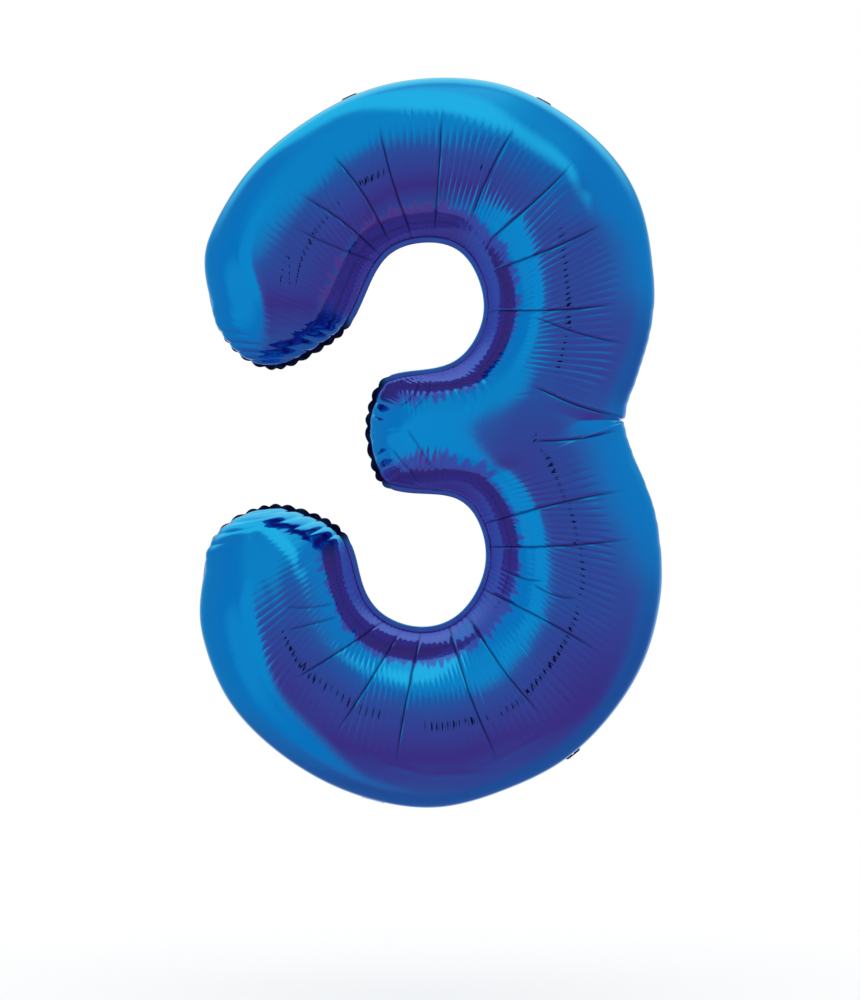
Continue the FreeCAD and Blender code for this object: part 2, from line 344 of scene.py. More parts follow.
class Membrane:
    """Height of a blown-up sheet over the weld: its square is that of a soap film under even pressure."""

    def __init__(self):
        cell = MEMBRANE_CELL
        low = np.floor(outline.points.min(axis=0)) - MEMBRANE_EDGE
        high = outline.points.max(axis=0) + MEMBRANE_EDGE
        self.low = low
        count = np.ceil((high - low) / cell).astype(int)
        weld = outline.point(outline.steps, WELD_INSET)
        inside = np.zeros(count, bool)
        columns = low[0] + cell * np.arange(count[0])
        for row in range(count[1]):
            level = low[1] + cell * row + 0.01
            above = weld[:, 1] > level
            cut = np.nonzero(above[1:] != above[:-1])[0]
            part = (level - weld[cut, 1]) / (weld[cut + 1, 1] - weld[cut, 1])
            crossings = weld[cut, 0] + part * (weld[cut + 1, 0] - weld[cut, 0])
            inside[:, row] = (columns[:, None] > crossings).sum(axis=1) % 2 == 1
        chequer = np.indices(inside.shape).sum(axis=0) % 2
        self.height = np.zeros(inside.shape)
        for sweep in range(2 * MEMBRANE_SWEEPS):
            h = self.height
            near = (np.roll(h, 1, 0) + np.roll(h, -1, 0) + np.roll(h, 1, 1) + np.roll(h, -1, 1)) / 4.0
            turn = inside & (chequer == sweep % 2)
            h[turn] += MEMBRANE_RELAXATION * (near[turn] + cell * cell / 4.0 - h[turn])

    def at(self, plan):
        """Smooth (cubic spline) reading of the sheet."""
        place = (plan - self.low) / MEMBRANE_CELL
        first = np.floor(place).astype(int)
        t = place - first
        weights = (
            (1 - t) ** 3 / 6,
            (3 * t**3 - 6 * t**2 + 4) / 6,
            (-3 * t**3 + 3 * t**2 + 3 * t + 1) / 6,
            t**3 / 6,
        )
        total = np.zeros(plan.shape[:-1])
        for i in range(4):
            for j in range(4):
                value = self.height[first[..., 0] + i - 1, first[..., 1] + j - 1]
                total += weights[i][..., 0] * weights[j][..., 1] * value
        return total


membrane = Membrane()


class Grid:
    """Points on the front of the film: one row per column of the balloon, from the bay's edge outwards.

    inner and outer are the ends of each column, as parameters of the outline, and start and stop are their
    places in the plane. stop_depth is the film's depth at stop, and arm_share is 1 where the section is the
    arm's. The pouch beside the weld stands out by pouch, along push.
    """

    def __init__(self, inner, outer, start, stop, stop_depth, arm_share, pouch, push):
        v = np.linspace(0.0, 1.0, ROWS + 1)[None, :]
        width = np.linalg.norm(stop - start, axis=1)[:, None]
        stop_depth, arm_share = stop_depth[:, None], arm_share[:, None]
        belly = DEPTH_RATIO * width
        belly = belly + (stop_depth / math.sqrt(2.0) - belly) * arm_share
        bowl_step = (1.0 - np.cos(np.pi * v)) / 2.0
        share = bowl_step + (1.0 - np.cos(np.pi / 2.0 * v) - bowl_step) * arm_share
        depth = np.sqrt(4.0 * belly**2 * share * np.clip(1.0 - share, 0.0, 1.0) + (stop_depth * share) ** 2)
        plan = start[:, None, :] + (stop - start)[:, None, :] * share[..., None]
        sheet = membrane.at(plan)
        from_join = np.linalg.norm(plan - JOIN_CENTRE, axis=-1)
        swap = 1.0 - smooth((from_join - JOIN_REACH[0]) / (JOIN_REACH[1] - JOIN_REACH[0]))
        swap = swap * smooth((sheet - MEMBRANE_FADE[0]) / MEMBRANE_FADE[1])
        depth = np.sqrt(depth**2 + swap * (8.0 * DEPTH_RATIO**2 * sheet - depth**2))
        depth = depth * np.sqrt(1.0 - np.exp(-share * width / BAY_EASE - 0.02))
        rise = depth / np.maximum(depth.max(axis=1, keepdims=True), DEPTH_RATIO * width + 1e-6)
        round_angle = np.arcsin(np.clip(rise, 0.0, 1.0))
        round_angle = np.where(share < 0.5, np.pi - round_angle, round_angle) / POUCH_ANGLE
        bulge = pouch[:, None] * round_angle * np.exp(1.0 - round_angle)
        plan = plan + push[:, None, :] * bulge[..., None]
        self.inner = inner
        self.outer = outer
        self.share = share
        self.width = np.broadcast_to(width, share.shape)
        self.points = np.stack([plan[..., 0], -depth, plan[..., 1]], axis=-1)


def midline_depth(plan, notch, tip):
    """Depth of the film along the line from the waist notch to the arm's tip."""
    from_notch = np.linalg.norm(plan - notch, axis=1)
    from_tip = np.linalg.norm(plan - tip, axis=1)
    thinning = smooth((from_notch - NOTCH_ROUNDING) / JUNCTION_LENGTH)
    full = JUNCTION_HALF_DEPTH + (ARM_HALF_DEPTH - JUNCTION_HALF_DEPTH) * thinning
    return full * rounded(from_notch, NOTCH_ROUNDING) * rounded(from_tip, ARM_ROUNDING)


def bowl_grid(round_end, bay_start, bay_end):
    """One bowl of the figure, from its round end to the waist notch."""
    x = np.linspace(0.0, 1.0, BOWL_COLUMNS + 1)
    part = x * x * (1.0 + COLUMN_EASE) / (x + COLUMN_EASE)
    outer = outline.at_fraction(round_end, outline.notch, part)
    inner = outline.at_fraction(bay_start, bay_end, part**BAY_LEAD)
    run = np.abs(outline.length_at(outer) - outline.length_at(round_end))
    pouch = POUCH_ROUND_END + (POUCH_OUTSIDE - POUCH_ROUND_END) * smooth(run / ROUND_END_LENGTH - 0.5)
    to_notch = np.abs(outline.length_at(outline.notch) - outline.length_at(outer))
    pouch = pouch * smooth(run / POUCH_START)
    none = np.zeros(len(x))
    start, stop = outline.point(inner, WELD_INSET), outline.point(outer, WELD_INSET)
    push = (stop - start) / np.maximum(np.linalg.norm(stop - start, axis=1), 1e-6)[:, None]
    push = np.array([1.0, 0.0]) + (push - np.array([1.0, 0.0])) * smooth(to_notch / NOTCH_REACH)[:, None]
    return Grid(inner, outer, start, stop, none, none, pouch, push)


def junction_grid(bay_start):
    """One side of the arm and of the junction, from the bay to the line from the notch to the arm's tip."""
    x = np.linspace(0.0, 1.0, JUNCTION_COLUMNS + 1)
    part = (1.0 - np.cos(np.pi * x)) / 2.0
    notch = outline.point(outline.notch, WELD_INSET)
    tip = outline.point(outline.tip, WELD_INSET)
    inner = outline.at_fraction(bay_start, outline.tip, part)
    middle = notch + (tip - notch) * part[:, None]
    depth = midline_depth(middle, notch, tip)
    share = smooth(part / ARM_SHARE_END)
    pouch = POUCH_OUTSIDE * (1.0 - smooth(np.linalg.norm(middle - notch, axis=1) / NOTCH_REACH))
    push = np.array([1.0, 0.0]) + np.zeros((len(x), 2))
    start = outline.point(inner, WELD_INSET)
    return Grid(inner, np.full(len(x), outline.tip), start, middle, depth, share, pouch, push)


def creases(plan):
    """Height of the creases over the smooth film, and the strength of their lines of painted shade."""
    relief = np.zeros(plan.shape[:-1])
    tone = np.zeros(plan.shape[:-1])
    for start, stop, depth in CREASES:
        start, stop = np.array(start, float), np.array(stop, float)
        length = np.linalg.norm(stop - start)
        along = (stop - start) / length
        offset = plan - start
        part = (offset @ along) / length
        side = offset @ np.array([-along[1], along[0]])
        side = side - CREASE_BOW * np.sin(np.pi * np.clip(part, 0.0, 1.0)) * math.sin(start[0])
        fade = smooth((part + 0.12) / 0.2) * (1.0 - smooth((part - 0.7) / 0.3))
        ridge = np.exp(-((side / FOLD_WIDTH - RIDGE_OFFSET) ** 2))
        fold = np.exp(-((side / FOLD_WIDTH) ** 2)) - RIDGE_SHARE * ridge
        valley = np.exp(-np.abs(side) / VALLEY_WIDTH)
        relief -= depth * fade * (FOLD_DEPTH * fold + VALLEY_DEPTH * valley)
        # painted shade along the fold of a crease
        line = np.exp(-((side / CREASE_LINE) ** 2)) * fade * min(depth, 1.0)
        tone = np.maximum(tone, line)
    return relief, tone


def folds(plan):
    """Height of the wide soft folds, deepest half way along."""
    relief = np.zeros(plan.shape[:-1])
    for start, stop, depth, width in FOLDS:
        start, stop = np.array(start, float), np.array(stop, float)
        length = np.linalg.norm(stop - start)
        along = (stop - start) / length
        part = ((plan - start) @ along) / length
        side = (plan - start) @ np.array([-along[1], along[0]])
        fade = smooth((part + 0.1) / 0.5) * (1.0 - smooth((part - 0.6) / 0.5))
        relief -= depth * fade * np.exp(-((side / width) ** 2))
    return relief


def dents(plan, chance):
    """Slow waves in the film, a few hand spans long."""
    relief = np.zeros(plan.shape[:-1])
    for _ in range(DENT_WAVES):
        heading = chance.uniform(0.0, 2.0 * math.pi)
        wave = 2.0 * math.pi / chance.uniform(*DENT_LENGTHS)
        phase = chance.uniform(0.0, 2.0 * math.pi)
        relief += np.sin(wave * (plan @ np.array([math.cos(heading), math.sin(heading)])) + phase)
    return relief * DENT_HEIGHT / math.sqrt(DENT_WAVES)


def ripples(run, share, chance):
    """Fine waves across the stroke from the bay, in groups, that die out before the outside edge."""
    knots = np.linspace(0.0, run[-1], int(run[-1] / RIPPLE_GROUP) + 2)
    strength = np.interp(run, knots, chance.uniform(*RIPPLE_STRENGTH, len(knots)))[:, None]
    start = np.interp(run, knots, chance.uniform(*RIPPLE_START, len(knots)))[:, None]
    stop = np.interp(run, knots, chance.uniform(*RIPPLE_STOP, len(knots)))[:, None]
    from_end = smooth((run - RIPPLE_GROWTH[0]) / RIPPLE_GROWTH[1])[:, None]
    stop = stop * (0.65 + 0.35 * from_end)
    shift = np.interp(run, knots, chance.uniform(-RIPPLE_SHIFT, RIPPLE_SHIFT, len(knots)))[:, None]
    fine_knots = np.linspace(0.0, run[-1], int(run[-1] / RIPPLE_PITCH) + 2)
    uneven = np.interp(run, fine_knots, chance.uniform(*RIPPLE_UNEVEN, len(fine_knots)))[:, None]
    phase = 2.0 * np.pi * run[:, None] / RIPPLE_PITCH + shift
    sway = 1.2 * np.sin(5.0 * share + run[:, None] / 40.0)
    sway = sway + 0.6 * np.sin(13.0 * share + run[:, None] / 17.0)
    wave = np.sin(phase + sway) + 0.35 * np.sin(2.0 * phase + 1.7 * sway + 1.0)
    reach = smooth((share - start) / 0.15) * (1.0 - smooth((share - stop) / 0.1 + 0.5))
    return RIPPLE_HEIGHT * strength * uneven * reach * wave * (0.35 + 0.65 * from_end)


def nearest_on_bay(plan, first, last):
    """Distance to the weld of a bay, and the outline's parameter there."""
    steps = np.linspace(min(first, last), max(first, last), WELD_STEPS)
    weld = outline.point(steps, WELD_INSET)
    distance = np.empty(plan.shape[:-1])
    parameter = np.empty(plan.shape[:-1])
    for column in range(plan.shape[0]):
        gaps = np.linalg.norm(plan[column][:, None, :] - weld[None, :, :], axis=2)
        nearest = gaps.argmin(axis=1)
        middle = np.clip(nearest, 1, len(steps) - 2)
        rows = np.arange(len(nearest))
        before, here, after = gaps[rows, middle - 1], gaps[rows, middle], gaps[rows, middle + 1]
        bend = np.maximum(before - 2.0 * here + after, 1e-9)
        slide = np.clip((before - after) / (2.0 * bend), -1.0, 1.0)
        distance[column] = gaps[rows, nearest]
        parameter[column] = steps[middle] + slide * (steps[1] - steps[0])
    return distance, parameter


def arm_ripples(distance, parameter):
    """Waves square to the bay's edge, along both sides of the arm."""
    run = outline.length_at(np.mod(parameter, outline.end))
    wave = np.sin(2.0 * np.pi * run / ARM_RIPPLE_PITCH + 1.5 * np.sin(run / 14.0) + distance / 16.0)
    uneven = 0.65 + 0.35 * np.sin(run / 9.0 + 1.0)
    stop = ARM_RIPPLE_REACH + 8.0 * np.sin(run / 11.0)
    reach = smooth((distance - 6.0) / 12.0) * (1.0 - smooth((distance - stop) / 18.0 + 0.5))
    return ARM_RIPPLE_HEIGHT * uneven * reach * wave * tip_gap(parameter)


def tip_gap(parameter):
    """0 at the middle of the arm's tip and 1 from its corners on."""
    here = outline.length_at(np.mod(parameter, outline.end))
    return smooth((np.abs(here - outline.length_at(outline.tip)) - TIP_CLEAR) / TIP_CLEAR)


def end_share(parameter):
    """1 at the round ends and the arm's tip, where the margin is scalloped, and 0 along the curves."""
    here = outline.length_at(np.mod(parameter, outline.end))
    total = outline.lengths[-1]
    share = np.zeros(np.shape(here))
    ends = ((0.0, END_HALF_LENGTH), (outline.lower_end, END_HALF_LENGTH), (outline.tip, TIP_HALF_LENGTH))
    for centre, reach in ends:
        gap = np.abs(here - outline.length_at(centre))
        gap = np.minimum(gap, total - gap)
        share = np.maximum(share, 1.0 - smooth((gap - reach) / END_FADE))
    return share


def scallop(parameter):
    """0 at each pucker of a round end and 1 half way between two."""
    here = outline.length_at(np.mod(parameter, outline.end))
    drift = 3.0 * np.sin(here / 37.0) + 2.0 * np.sin(here / 13.0 + 1.0)
    return np.abs(np.sin(np.pi * (here + drift) / SCALLOP_PITCH))


def puckers(parameter, distance):
    """Relief next to the weld: folds between the scallops of an end, and fine gathers along the bays."""
    ends = end_share(parameter)
    here = outline.length_at(np.mod(parameter, outline.end))
    tucks = -np.exp(-scallop(parameter) / SCALLOP_TUCK) * np.exp(-distance / SCALLOP_FOLD_LENGTH)
    drift = 2.0 * np.sin(here / 19.0) + 1.3 * np.sin(here / 7.3 + 2.0)
    strength = 0.6 + 0.4 * np.sin(here / 11.0)
    gathers = np.sin(2.0 * np.pi * (here + drift) / GATHER_PITCH) * strength
    gathers = gathers * np.exp(-distance / GATHER_LENGTH)
    return SCALLOP_FOLD * ends * tucks + GATHER_HEIGHT * (1.0 - ends) * gathers


def lip(grid):
    """Push out over the weld: in lobes between the puckers at the ends, and evenly at the bays."""
    push = np.zeros(grid.points.shape[:-1] + (2,))
    over = smooth(grid.share)
    for parameter, part in ((grid.inner, 1.0 - over), (grid.outer, over)):
        ends = end_share(parameter)
        lobes = LIP_REACH * ends * (1.0 - SCALLOP_LOBE + SCALLOP_LOBE * scallop(parameter))
        if parameter is grid.inner:
            lobes += BAY_LIP * (1.0 - ends)
        push += (part * lobes[:, None])[..., None] * outline.outward(parameter)[:, None, :]
    height = -grid.points[..., 1] / LIP_HEIGHT
    return push * (height * np.exp(1.0 - height))[..., None]


def normals(points):
    """Unit vectors square to the film, all pointing to the front."""
    across = np.cross(np.gradient(points, axis=0), np.gradient(points, axis=1))
    across /= np.maximum(np.linalg.norm(across, axis=-1, keepdims=True), 1e-9)
    across[across[..., 1] > 0.0] *= -1.0
    return across


def quads_of(numbers):
    """Faces between the neighbouring rows and columns of a table of point numbers."""
    a, b = numbers[:-1, :-1].ravel(), numbers[1:, :-1].ravel()
    c, d = numbers[1:, 1:].ravel(), numbers[:-1, 1:].ravel()
    return np.stack([a, b, c, d], axis=1)


def ripple_and_shade_bowl(bowl, arm_band, chance):
    """Give a bowl its ripples and its band of painted shade, arm_band wide where it meets the junction."""
    middle = bowl.points[:, ROWS // 2]
    run = np.concatenate([[0.0], np.cumsum(np.linalg.norm(np.diff(middle, axis=0), axis=1))])
    to_join = run[-1] - run
    from_end = smooth((run - END_CLEAR[0]) / END_CLEAR[1])
    bowl.ripples = ripples(run, bowl.share, chance) * from_end[:, None]
    bowl.ripples *= smooth(to_join / JOIN_CLEAR)[:, None]
    bowl.distance = bowl.share * bowl.width
    bowl.along_bay = (1.0 - end_share(bowl.inner))[:, None]
    band = arm_band + (SHADE_BAND - arm_band) * smooth(to_join / BAND_CHANGE)
    knots = np.arange(0.0, run[-1] + JAG_PITCH, JAG_PITCH)
    jags = np.interp(run, knots, chance.uniform(-1.0, 1.0, len(knots))) * smooth(to_join / JAG_CLEAR)
    bowl.band = (band * (1.0 + JAG_SHARE * jags))[:, None]


def ripple_and_shade_arm(arm, bay_start, arm_band):
    """Give one side of the arm its ripples and its band of painted shade."""
    arm.distance, foot = nearest_on_bay(arm.points[..., [0, 2]], bay_start, outline.tip)
    part = np.linspace(0.0, 1.0, len(arm.inner))[:, None]
    from_bowl = smooth(part / ARM_START)
    arm.ripples = arm_ripples(arm.distance, foot) * from_bowl
    arm.along_bay = tip_gap(foot)
    run = outline.length_at(foot)
    jags = 0.6 * np.sin(run / 1.1 + 2.0 * np.sin(run / 9.0)) + 0.5 * np.sin(run / 4.3)
    arm.band = arm_band * (1.0 + ARM_JAG_SHARE * jags * from_bowl)


def make_skin(name, side, chance):
    """Whole film of one panel, from four grids. side is -1 for the front and 1 for the back."""
    bowls, arms = [], []
    strokes = (
        (0.0, outline.end, outline.tip + NOTCH_PARTNER),
        (outline.lower_end, outline.lower_end, outline.tip - NOTCH_PARTNER),
    )
    for (round_end, bay_start, partner), arm_band in zip(strokes, SHADE_BAND_ARM):
        bowl = bowl_grid(round_end, bay_start, partner)
        arm = junction_grid(partner)
        ripple_and_shade_bowl(bowl, arm_band, chance)
        ripple_and_shade_arm(arm, bay_start, arm_band)
        relieve(bowl)
        relieve(arm)
        join = (bowl.points[-1] + arm.points[0]) / 2.0
        bowl.points[-1] = join
        arm.points[0] = join
        bowls.append(bowl)
        arms.append(arm)
    spine = (arms[0].points[:, -1] + arms[1].points[:, -1]) / 2.0
    points, faces, base = [], [], 0
    tones = {"gathered": [], "creased": []}
    for number, (bowl, arm) in enumerate(zip(bowls, arms)):
        arm.points[:, -1] = spine
        for grid in (bowl, arm):
            columns, count = grid.points.shape[:2]
            quads = quads_of(base + np.arange(columns * count).reshape(columns, count))
            if (number == 1) == (side < 0):
                quads = quads[:, ::-1]
            points.append((grid.points * np.array([1.0, -side, 1.0])).reshape(-1, 3))
            faces.append(quads)
            tones["gathered"].append(grid.gathered.ravel())
            tones["creased"].append(grid.creased.ravel())
            base += columns * count
    tones = {kind: np.concatenate(values) for kind, values in tones.items()}
    return mesh_object(name, np.concatenate(points), np.concatenate(faces), tones)


def relieve(grid):
    """Give a smooth grid its lips, creases, ripples, puckers and dents, and its two masks of painted shade.
    """
    grid.points[..., [0, 2]] += lip(grid)
    plan = grid.points[..., [0, 2]]
    relief, grid.creased = creases(plan)
    relief += grid.ripples + folds(plan)
    to_outside = smooth((grid.share - PUCKER_SPLIT[0]) / (PUCKER_SPLIT[1] - PUCKER_SPLIT[0]))
    to_bay = smooth((PUCKER_SPLIT[1] - grid.share) / (PUCKER_SPLIT[1] - PUCKER_SPLIT[0]))
    relief += puckers(grid.inner[:, None], grid.share * grid.width) * to_bay
    outer_side = puckers(grid.outer[:, None], (1.0 - grid.share) * grid.width)
    relief += outer_side * end_share(grid.outer)[:, None] * to_outside
    slow = dents(plan, np.random.default_rng(SEED)) * smooth(-grid.points[..., 1] / DENT_DEPTH)
    edge = smooth(-grid.points[..., 1] / EDGE_DEPTH)
    grid.points += normals(grid.points) * (relief * edge)[..., None]
    grid.points[..., 1] = np.minimum(grid.points[..., 1] - slow, 0.0)
    # painted shade: the band beside the bay, with a soft uneven edge
    grid.gathered = (1.0 - smooth((grid.distance - grid.band) / SHADE_BAND_FADE + 0.5)) * grid.along_bay


def mesh_object(name, points, quads, tones=None, join=0.02):
    """Smooth mesh from figure millimetres, with points nearer than join made one.

    tones holds lists of one value for each point, by the name of the attribute that the material reads.
    """
    mesh = bpy.data.meshes.new(name)
    mesh.vertices.add(len(points))
    mesh.vertices.foreach_set("co", to_frame(points).astype(np.float32).ravel())
    mesh.loops.add(quads.size)
    mesh.loops.foreach_set("vertex_index", quads.astype(np.int32).ravel())
    mesh.polygons.add(len(quads))
    mesh.polygons.foreach_set("loop_start", np.arange(0, quads.size, 4, dtype=np.int32))
    mesh.polygons.foreach_set("use_smooth", np.ones(len(quads), bool))
    for kind, values in (tones or {}).items():
        layer = mesh.attributes.new(kind, "FLOAT", "POINT")
        layer.data.foreach_set("value", values.astype(np.float32))
    mesh.update(calc_edges=True)
    work = bmesh.new()
    work.from_mesh(mesh)
    bmesh.ops.remove_doubles(work, verts=work.verts, dist=join * MM)
    work.to_mesh(mesh)
    work.free()
    piece = bpy.data.objects.new(name, mesh)
    bpy.context.scene.collection.objects.link(piece)
    return piece


def tube(name, rings, tones=None):
    """Tube through points[ring, section]. A tube that closes on itself ends with its first ring again."""
    count, section = rings.shape[:2]
    numbers = np.arange(count * section).reshape(count, section)
    numbers = np.concatenate([numbers, numbers[:, :1]], axis=1)
    return mesh_object(name, rings.reshape(-1, 3), quads_of(numbers), tones)


# ---- Margin, tabs and tail ----


def make_margin():
    """The flat welded edge of both panels, scalloped where the strokes end."""
    steps = np.linspace(0.0, outline.end, MARGIN_STEPS + 1)
    here = outline.length_at(steps)
    ends = end_share(steps)
    lobes = scallop(steps)
    edge = MARGIN_INSET + ends * (SCALLOP_CUT * (1.0 - lobes) - SCALLOP_PROUD * lobes)
    sway = np.sin(np.pi * here / SCALLOP_PITCH + 1.5 * np.sin(here / 23.0))
    band_sway = np.sin(here / 6.0 + 2.0 * np.sin(here / 31.0))
    ruffle = ends * END_RUFFLE * sway + (1.0 - ends) * BAND_RUFFLE * band_sway
    sections = []
    for place in MARGIN_PLACES:
        inset = edge + (WELD_INSET - edge) * place
        lift = ruffle * (1.0 - min(place, 1.0)) ** MARGIN_LIFT
        flat = outline.point(steps, inset)
        sections.append((flat, lift))
    front = [np.stack([flat[:, 0], lift - MARGIN_HALF, flat[:, 1]], axis=-1) for flat, lift in sections]
    back = [np.stack([flat[:, 0], lift + MARGIN_HALF, flat[:, 1]], axis=-1) for flat, lift in sections]
    rings = np.stack(front + back[::-1], axis=1)
    # painted shade on the margin at the round ends and the arm's tip
    return tube("weld_margin", rings, {"gathered": np.repeat(ends, rings.shape[1])})


class Edge:
    """Local axes at a place on the weld: along the edge, out of the figure and to the back."""

    def __init__(self, guess):
        near = np.linalg.norm(outline.value(outline.steps) - np.array(guess, float), axis=1)
        self.parameter = outline.steps[int(np.argmin(near))]
        out = outline.outward(self.parameter)
        weld = outline.point(self.parameter, WELD_INSET)
        self.weld = np.array([weld[0], 0.0, weld[1]])
        self.out = np.array([out[0], 0.0, out[1]])
        self.along = np.array([out[1], 0.0, -out[0]])

    def place(self, along, reach, back):
        """Figure millimetres of points given along the edge, out from the weld and to the back."""
        along, reach, back = np.broadcast_arrays(along, reach, back)
        return (self.weld + along[..., None] * self.along + reach[..., None] * self.out
                + back[..., None] * np.array([0.0, 1.0, 0.0]))


def rounded_box(half_width, low, high, corner, count=64):
    """Outline of a tab, counter-clockwise: its two outer corners are round."""
    turn = np.linspace(0.0, math.pi / 2.0, 9)
    centre = np.array([half_width - corner, high - corner])
    right = centre + corner * np.stack([np.cos(turn), np.sin(turn)], axis=1)
    left = np.stack([-right[::-1, 0], right[::-1, 1]], axis=1)
    corners = np.concatenate([[[half_width, low]], right, left, [[-half_width, low]], [[half_width, low]]])
    lengths = np.concatenate([[0.0], np.cumsum(np.linalg.norm(np.diff(corners, axis=0), axis=1))])
    spots = np.linspace(0.0, lengths[-1], count + 1)[:-1]
    return np.stack([np.interp(spots, lengths, corners[:, i]) for i in range(2)], axis=1)


def make_tab(name, guess):
    """One hanging tab with its hole, and where its fold starts and stops."""
    edge = Edge(guess)
    outer = rounded_box(TAB_WIDTH / 2.0, TAB_ROOT, TAB_REACH, TAB_CORNER)
    hole = np.array([0.0, HOLE_REACH])
    angle = np.arctan2(outer[:, 1] - hole[1], outer[:, 0] - hole[0])
    inner = hole + HOLE_RADIUS * np.stack([np.cos(angle), np.sin(angle)], axis=1)
    rim = hole + (HOLE_RADIUS + HOLE_RIM) * np.stack([np.cos(angle), np.sin(angle)], axis=1)
    sections = []
    for share, start, half in ((0.0, inner, 0.5), (0.0, inner, 1.0), (0.0, rim, 1.0), (0.5, rim, 0.85),
                               (0.93, rim, 0.85), (1.0, rim, 0.4)):
        sections.append((start + (outer - start) * share, TAB_HALF * half))
    front = [edge.place(flat[:, 0], flat[:, 1], -half) for flat, half in sections]
    back = [edge.place(flat[:, 0], flat[:, 1], half) for flat, half in reversed(sections)]
    rings = np.stack(front + back, axis=1)
    rings = np.concatenate([rings, rings[:1]])
    # painted shade over the whole tab
    piece = tube(name, rings, {"gathered": np.full(rings.shape[0] * rings.shape[1], TAB_SHADE)})
    start = to_frame(edge.place(0.0, MARGIN_REACH - 0.5, 0.0))
    stop = to_frame(edge.place(0.0, MARGIN_REACH + 2.5 * FOLD_GAP, 0.0))
    return piece, start, stop


def make_tail_layer(name, edge, side):
    """One layer of the filling tail: out of the margin, round the fold and back under the balloon."""
    bend = math.pi / 2.0 * FOLD_RADIUS
    straight = NECK_REACH - TAIL_ROOT
    total = straight + bend + TAIL_LENGTH - TAIL_SHORTER
    neck = np.linspace(0.0, straight, 8)
    fold = np.linspace(straight, straight + bend, 9)
    run = np.concatenate([neck[:-1], fold[:-1], np.linspace(straight + bend, total, 60)])
    turn = np.clip((run - straight) / bend, 0.0, 1.0) * math.pi / 2.0
    beyond = np.clip(run - straight - bend, 0.0, None)
    reach = TAIL_ROOT + np.minimum(run, straight) + FOLD_RADIUS * np.sin(turn)
    back = FOLD_RADIUS * (1.0 - np.cos(turn)) + beyond
    reach = reach + TAIL_WAVE * np.sin(beyond / TAIL_WAVE_LENGTH) * smooth(beyond / 30.0)
    normal_reach, normal_back = -np.sin(turn), np.cos(turn)
    into_corner = np.clip((run - total + TAIL_CORNER) / TAIL_CORNER, 0.0, 1.0)
    inset = TAIL_CORNER * (1.0 - np.sqrt(1.0 - into_corner**2))
    across = np.linspace(-1.0, 1.0, 25)
    half = TAIL_WIDTH / 2.0 - inset
    along = across[None, :] * half[:, None]
    seal = np.exp(-((np.abs(along) - (TAIL_WIDTH / 2.0 - SEAL_INSET)) / SEAL_WIDTH) ** 2)
    open_up = TAIL_OPENING * smooth(beyond / 50.0)[:, None] * (1.0 - across[None, :] ** 4)
    crinkle = TAIL_CRINKLE * np.sin(run[:, None] / 5.0 + 2.0 * np.sin(along / 7.0))
    crinkle = crinkle * smooth(beyond / 10.0)[:, None]
    middle = side * (LAYER_HALF + open_up - SEAL_DEPTH * seal) + crinkle
    ring = []
    for offset in (-LAYER_HALF, LAYER_HALF):
        lift = middle + offset
        points = edge.place(along, reach[:, None] + lift * normal_reach[:, None],
                            back[:, None] + lift * normal_back[:, None])
        ring.append(points if offset < 0 else points[:, ::-1])
    return tube(name, np.concatenate(ring, axis=1))


# ---- Materials ----


class Nodes:
    """Short way to write a node tree."""

    def __init__(self, tree):
        self.tree = tree

    def add(self, kind, links=None, **settings):
        node = self.tree.nodes.new(kind)
        for key, value in settings.items():
            setattr(node, key, value)
        for key, value in (links or {}).items():
            if isinstance(value, bpy.types.NodeSocket):
                self.tree.links.new(value, node.inputs[key])
            else:
                node.inputs[key].default_value = value
        return node

    def math(self, operation, *values):
        return self.add("ShaderNodeMath", dict(enumerate(values)), operation=operation).outputs[0]

    def mix(self, share, none, full):
        """Colour between none, at a share of 0, and full, at 1."""
        return self.add("ShaderNodeMix", {0: share, 6: none, 7: full}, data_type="RGBA").outputs[2]

    def noise(self, place, scale, detail):
        links = {"Vector": place, "Scale": scale, "Detail": detail}
        return self.add("ShaderNodeTexNoise", links).outputs["Fac"]


def foil_material(name, roughness, grain, gathered_tone):
    """Blue metallised film: near-mirror gloss with small changes of tone and gloss, a fine crinkle, and
    painted shade.
    """
    material = bpy.data.materials.new(name)
    material.use_nodes = True
    tree = material.node_tree
    shader = tree.nodes["Principled BSDF"]
    make = Nodes(tree)
    place = make.add("ShaderNodeTexCoord").outputs["Object"]
    gathered = make.add("ShaderNodeAttribute", attribute_name="gathered").outputs["Fac"]
    creased = make.add("ShaderNodeAttribute", attribute_name="creased").outputs["Fac"]
    tone = make.mix(make.noise(place, 9.0, 3.0), FOIL_DEEP, FOIL_LIGHT)
    # painted shade: darker in the band beside a bay, darkest along the crease lines
    tone = make.mix(gathered, tone, gathered_tone)
    tone = make.mix(creased, tone, FOIL_CREASE_SHADE)
    haze = make.noise(place, 60.0, 4.0)
    low, high = roughness * HAZE_RANGE[0], roughness * HAZE_RANGE[1]
    gloss = make.add("ShaderNodeMapRange", {"Value": haze, "To Min": low, "To Max": high})
    crinkle = make.noise(place, 140.0, 2.0)
    bump = make.add("ShaderNodeBump", {"Height": crinkle, "Strength": grain, "Distance": CRINKLE_HEIGHT})
    # painted reflection: in the band of painted shade the film is less metallic and its gloss is tinted
    # violet
    metal = make.add("ShaderNodeMapRange", {"Value": gathered, "To Min": 1.0, "To Max": SHADE_METAL})
    tree.links.new(tone, shader.inputs["Base Color"])
    tree.links.new(gloss.outputs[0], shader.inputs["Roughness"])
    tree.links.new(bump.outputs[0], shader.inputs["Normal"])
    tree.links.new(make.mix(gathered, PLAIN_EDGE, SHADE_EDGE_TINT), shader.inputs["Specular Tint"])
    tree.links.new(metal.outputs[0], shader.inputs["Metallic"])
    return material


